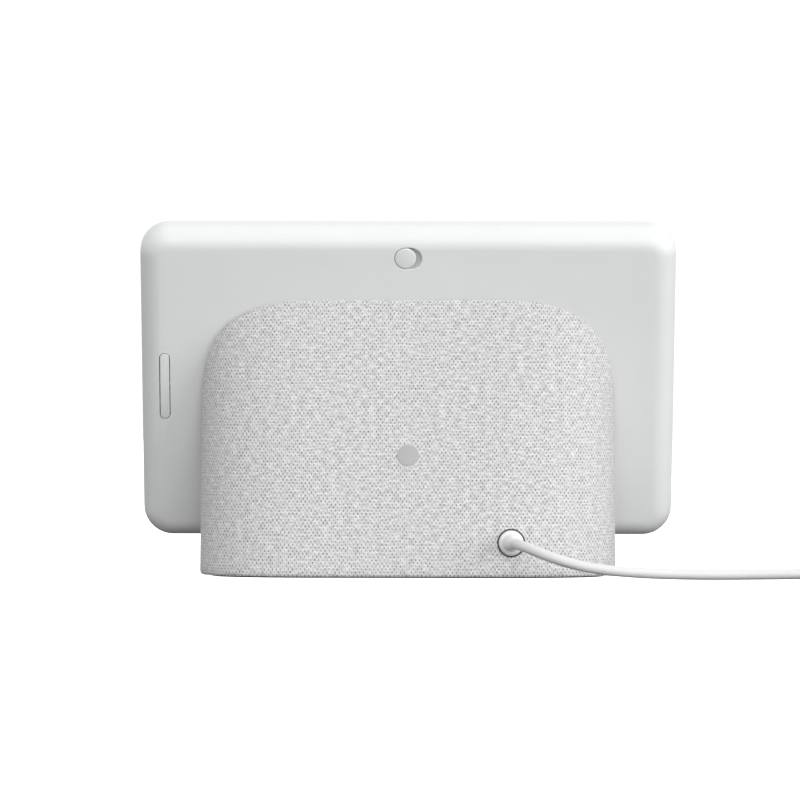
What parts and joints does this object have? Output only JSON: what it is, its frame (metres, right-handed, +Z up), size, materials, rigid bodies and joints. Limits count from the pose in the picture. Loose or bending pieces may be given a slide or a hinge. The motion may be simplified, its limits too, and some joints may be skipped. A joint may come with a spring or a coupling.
{
  "type": "smart display",
  "caption": "Tabletop smart display: a leaning screen slab on a fabric-covered speaker base, with a privacy slider, a volume rocker and a plugged-in power lead.",
  "frame": {"origin": "centre of the foot's flat face, where the display stands on a table", "axes": "+Z up, the screen faces -Y, the fabric rear and the power inlet face +Y, +X along the width"},
  "size_m": [0.2782, 0.1072, 0.1179],
  "materials": {
    "shell_plastic": "satin",
    "cap_plastic": "satin",
    "screen_glass": "polished",
    "lcd": "gloss",
    "backlight_film": "matte",
    "pressed_steel": "satin",
    "zinc_screw": "satin",
    "foam": "matte",
    "circuit_board": "satin",
    "chip": "matte",
    "spreader_aluminium": "satin",
    "polyimide": "satin",
    "copper": "satin",
    "knit_fabric": "knitted melange",
    "housing_plastic": "matte",
    "foot_silicone": "matte",
    "badge_plastic": "satin",
    "magnet_ferrite": "matte",
    "cone_paper": "matte",
    "surround_rubber": "matte",
    "dark_plastic": "satin",
    "marker_film": "matte",
    "plug_plastic": "satin",
    "cord_jacket": "satin",
    "nickel": "polished"
  },
  "bodies": {
    "stand": {"display_rear_shell": "shell_plastic", "front_glass": "screen_glass", "lcd_panel": "lcd", "backlight_unit": "backlight_film", "lcd_tray": "pressed_steel", "glass_gasket": "foam", "sensor_board": "circuit_board", "microphones": "nickel", "light_sensor": "chip", "heat_spreader": "spreader_aluminium", "main_board": "circuit_board", "processor_shield": "pressed_steel", "radio_shield": "pressed_steel", "board_screws": "zinc_screw", "antenna_left": "polyimide", "antenna_right": "polyimide", "display_flex": "polyimide", "neck_bracket": "pressed_steel", "neck_screws": "zinc_screw", "mute_marker": "marker_film", "mute_switch": "pressed_steel", "mute_board": "circuit_board", "rocker_cradle": "housing_plastic", "rocker_mat": "surround_rubber", "volume_switches": "pressed_steel", "volume_board": "circuit_board", "fabric_sleeve": "knit_fabric", "base_housing": "housing_plastic", "floor_plate": "housing_plastic", "foot_pad": "foot_silicone", "base_screws": "zinc_screw", "badge_disc": "badge_plastic", "speaker_gasket": "foam", "speaker_basket": "dark_plastic", "speaker_top_plate": "pressed_steel", "speaker_magnet": "magnet_ferrite", "speaker_yoke": "pressed_steel", "speaker_surround": "surround_rubber", "speaker_spider": "polyimide", "speaker_screws": "zinc_screw", "inlet_ring": "dark_plastic", "power_jack": "dark_plastic", "power_board": "circuit_board", "wiring_harness": "cord_jacket", "plug_sleeve": "nickel", "power_plug": "plug_plastic", "strain_relief": "plug_plastic", "power_cord": "cord_jacket", "cord_tail": "cord_jacket", "cord_coil": "cord_jacket", "cord_tie": "surround_rubber", "adapter_body": "plug_plastic", "adapter_blades": "nickel", "adapter_relief": "plug_plastic"},
    "mute_slide_cap": {"mute_slider": "cap_plastic", "mute_switch_knob": "dark_plastic"},
    "volume_key": {"volume_rocker": "cap_plastic"},
    "speaker_diaphragm": {"speaker_cone": "cone_paper", "voice_coil": "copper", "dust_cap": "cone_paper"}
  },
  "joints": [
    {"name": "mute_slide", "type": "slide", "parent": "stand", "child": "mute_slide_cap", "axis": [-1, 0, 0], "range_m": [0, 0.00186]},
    {"name": "volume_rock", "type": "hinge", "parent": "stand", "child": "volume_key", "pos_m": [0.0814, -0.01573, 0.06374], "axis": [1, 0, 0], "range_deg": [-1.8, 1.8], "stiffness_Nm_per_rad": 0.6, "deforming": ["rocker_mat"]},
    {"name": "speaker_excursion", "type": "slide", "parent": "stand", "child": "speaker_diaphragm", "axis": [0, 0.9345, 0.356], "range_m": [-0.001, 0.001], "stiffness_N_per_m": 1500, "deforming": ["speaker_surround", "speaker_spider"]}
  ]
}
